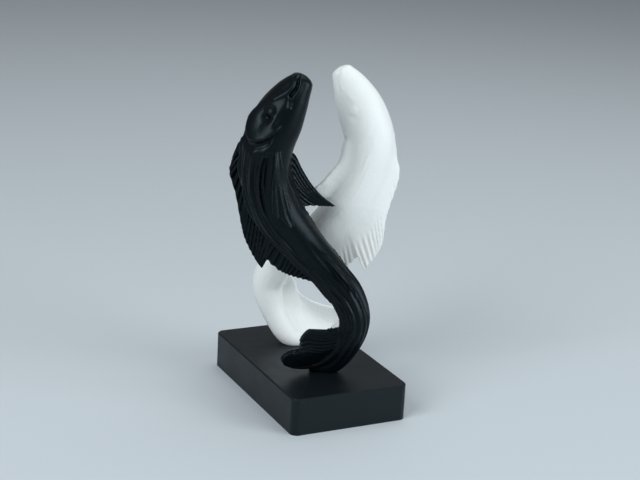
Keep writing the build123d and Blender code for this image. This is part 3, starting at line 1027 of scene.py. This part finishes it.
shape = carved.nodes.new("ShaderNodeNewGeometry").outputs["Pointiness"]
coords = carved.nodes.new("ShaderNodeTexCoord").outputs["Object"]
# Hollows are mixed towards a painted shade, patchy ridges towards a painted highlight.
hollow = add_map(carved, shape, *HOLLOW_RANGE)
ridges = add_map(carved, shape, *RIDGE_RANGE)
wear_highlight_patches = add_map(carved, add_noise(carved, coords, *PATCH_NOISE), *WEAR_HIGHLIGHT_RANGE)
rubbed_highlight = add_math(carved, "MULTIPLY", ridges, wear_highlight_patches)
toned = add_mix(carved, hollow, carved_in.outputs["Body"], carved_in.outputs["Hollow shade"])
tone = add_mix(carved, rubbed_highlight, toned, carved_in.outputs["Rubbed highlight"])
carved.links.new(tone, carved_out.inputs["Color"])
print("Painted shade and rubbed highlight has", len(carved.nodes), "nodes")

# %% [markdown]
# ## Black fish
# The dark fish is satin black with a cool sheen and softly rubbed ridges. Plain black would swallow
# the carving. So the body colour is a very dark blue-grey, shade is painted darker into the hollows,
# the ridges get a lighter painted highlight, partly rubbed wear, and the shine is weak and tinted.
# The function serves every resin finish.

# %% Resin finish
BUMP_HEIGHT = 0.0004


def use_group(material, group, values):
    """A node group set into a material, with its plain inputs filled in."""
    node = material.node_tree.nodes.new("ShaderNodeGroup")
    node.node_tree = group
    fill(node, values)
    return node


def resin(name, body, hollow, rubbed_highlight, roughness, spread, bump, shine, tint):
    """A painted resin finish from the two shared effects, with painted shade and painted highlight.
    """
    material = bpy.data.materials.new(name)
    material.use_nodes = True
    tree = material.node_tree
    shader = tree.nodes["Principled BSDF"]
    tones = {"Body": (*body, 1), "Hollow shade": (*hollow, 1), "Rubbed highlight": (*rubbed_highlight, 1)}
    tone = use_group(material, carved, tones)
    skin_grain = use_group(material, grain, {"Roughness": roughness, "Spread": spread})
    fill(shader, {"Specular IOR Level": shine, "Specular Tint": (*tint, 1)})
    dent = tree.nodes.new("ShaderNodeBump")
    fill(dent, {"Strength": bump, "Distance": BUMP_HEIGHT})
    tree.links.new(tone.outputs["Color"], shader.inputs["Base Color"])
    tree.links.new(skin_grain.outputs["Roughness"], shader.inputs["Roughness"])
    tree.links.new(skin_grain.outputs["Height"], dent.inputs["Height"])
    tree.links.new(dent.outputs["Normal"], shader.inputs["Normal"])
    return material


# Painted shade in the hollows and a bluish painted highlight, partly rubbed wear, on the ridges.
dark_satin = resin(
    "dark_satin", body=(0.0018, 0.0036, 0.005), hollow=(0.0007, 0.0009, 0.0012),
    rubbed_highlight=(0.009, 0.016, 0.021), roughness=0.34, spread=0.16, bump=0.13,
    shine=0.16, tint=(0.70, 0.91, 1.0),
)
print("The first resin finish has", len(dark_satin.node_tree.nodes), "nodes")


# %% Dark fish painted
def paint(piece, material):
    """The one finish of a piece."""
    piece.data.materials.clear()
    piece.data.materials.append(material)
    print(piece.name, "is finished in", material.name)


paint(dark_carp, dark_satin)

# %% [markdown]
# ## White fish
# The pale fish is a soft white with a yellowish shade painted into its hollows. Light scattered
# under the surface would soften it too, but that is slow to render. So it is the same resin in
# pale tones, rougher and with a stronger bump, and its ridges get a faint painted highlight.

# %% Pale satin
# Yellowish painted shade in the hollows and a faint painted highlight on the ridges.
pale_satin = resin(
    "pale_satin", body=(0.795, 0.835, 0.825), hollow=(0.74, 0.75, 0.67),
    rubbed_highlight=(0.82, 0.85, 0.845), roughness=0.48, spread=0.15, bump=0.35,
    shine=0.4, tint=(1.0, 1.0, 1.0),
)
paint(pale_carp, pale_satin)

# %% [markdown]
# ## Black plinth
# The plinth is a flatter black than the fish, without rubbed edges. A plain colour would do for its
# tone, but the grain breaks up the reflections on its flat faces. So it is the same resin with tones
# that lie close together, so that its painted shade and painted highlight are faint.

# %% Plinth black
# Faint painted shade in hollows and a faint painted highlight on edges.
plinth_matt = resin(
    "plinth_matt", body=(0.0045, 0.0075, 0.0095), hollow=(0.004, 0.006, 0.008),
    rubbed_highlight=(0.005, 0.008, 0.010), roughness=0.40, spread=0.2, bump=0.10,
    shine=0.26, tint=(0.78, 0.94, 1.0),
)
paint(plinth, plinth_matt)

# %% [markdown]
# ## Steel screws
# The screws are bright steel. Turning marks could be added, but they would not show at this size,
# so a plain metal is enough.


# %% Screw steel
def plain(name, base, roughness, metallic=0.0):
    """A finish of plain numbers only."""
    material = bpy.data.materials.new(name)
    material.use_nodes = True
    shader = material.node_tree.nodes["Principled BSDF"]
    fill(shader, {"Base Color": (*base, 1), "Roughness": roughness, "Metallic": metallic})
    return material


paint(screws, plain("screw_steel", base=(0.55, 0.55, 0.56), roughness=0.3, metallic=1.0))

# %% [markdown]
# ## Floor
# The figurine needs a ground that catches its shadow. A curved sweep would hide the horizon, but a
# very wide floor does the same in this view from above. It is staging, not part of the object.

# %% Floor
FLOOR_REACH = 8.0
floor_corners = np.array([(-1, -1, 0), (1, -1, 0), (1, 1, 0), (-1, 1, 0)]) * FLOOR_REACH
floor = mesh_object("floor", floor_corners, [(0, 1, 2, 3)])
paint(floor, plain("floor_pale", base=(0.56, 0.62, 0.65), roughness=0.8))

# %% [markdown]
# ## Light
# Soft daylight falls on the figurine from two sides. A picture of a room could light it, but lamps
# can be moved until each highlight sits right. Two large square lamps stand for windows on either
# side of the viewer, a third gives the even light from above, and a dim sky fills the shadows.

# %% Lamps and sky
LIGHT_AIM = Vector((0.0, 0.0, 0.06))
# Name, place and size in metres, power in watts, and colour.
LAMPS = [
    ("window", (0.70, 0.62, 0.36), 0.6, 6.2, (0.92, 0.96, 1.0)),
    ("second_window", (0.33, -0.79, 0.66), 0.6, 7.0, (0.94, 0.97, 1.0)),
    ("ceiling", (-0.25, 0.25, 1.0), 0.9, 3.4, (0.96, 0.98, 1.0)),
]
SKY_COLOR, SKY_STRENGTH = (0.93, 0.96, 1.0, 1.0), 0.24


def soft_light(name, place, size, power, color):
    """A square lamp aimed at the middle of the figurine."""
    lamp = bpy.data.lights.new(name, "AREA")
    lamp.shape = "SQUARE"
    lamp.size = size
    lamp.energy = power
    lamp.color = color
    turn = (LIGHT_AIM - Vector(place)).to_track_quat("-Z", "Y")
    new_object(name, lamp).matrix_world = Matrix.Translation(place) @ turn.to_matrix().to_4x4()
    print("Light", name, "of", power, "W")


for lamp_values in LAMPS:
    soft_light(*lamp_values)
world = bpy.data.worlds.new("room")
world.use_nodes = True
fill(world.node_tree.nodes["Background"], {"Color": SKY_COLOR, "Strength": SKY_STRENGTH})
bpy.context.scene.world = world

# %% [markdown]
# ## Camera
# The view is that of the photo. A camera could be aimed by eye, but then no edge would fall quite
# where it should. Its place, turn and lens were fitted to the plinth's corners and to points that
# both fish share. The Standard view keeps colours as they are, without a film look.

# %% Camera
SENSOR_WIDTH, LENS = 36.0, 81.95
CAMERA_PLACE = (0.502686, -0.249753, 0.235067)
CAMERA_RIGHT = Vector((0.43435288, 0.89934876, 0.0500938))
CAMERA_UP = Vector((-0.28177668, 0.08284441, 0.95589681))
CAMERA_AHEAD = Vector((-0.85553461, 0.4293118, -0.28939922))
lens = bpy.data.cameras.new("photo_camera")
lens.sensor_width = SENSOR_WIDTH
lens.lens = LENS
camera = new_object("photo_camera", lens)
turned = Matrix((CAMERA_RIGHT, CAMERA_UP, -CAMERA_AHEAD)).transposed()
camera.matrix_world = Matrix.Translation(CAMERA_PLACE) @ turned.to_4x4()
bpy.context.scene.camera = camera
bpy.context.scene.view_settings.view_transform = "Standard"
print("Camera of", LENS, "mm, at", CAMERA_PLACE)
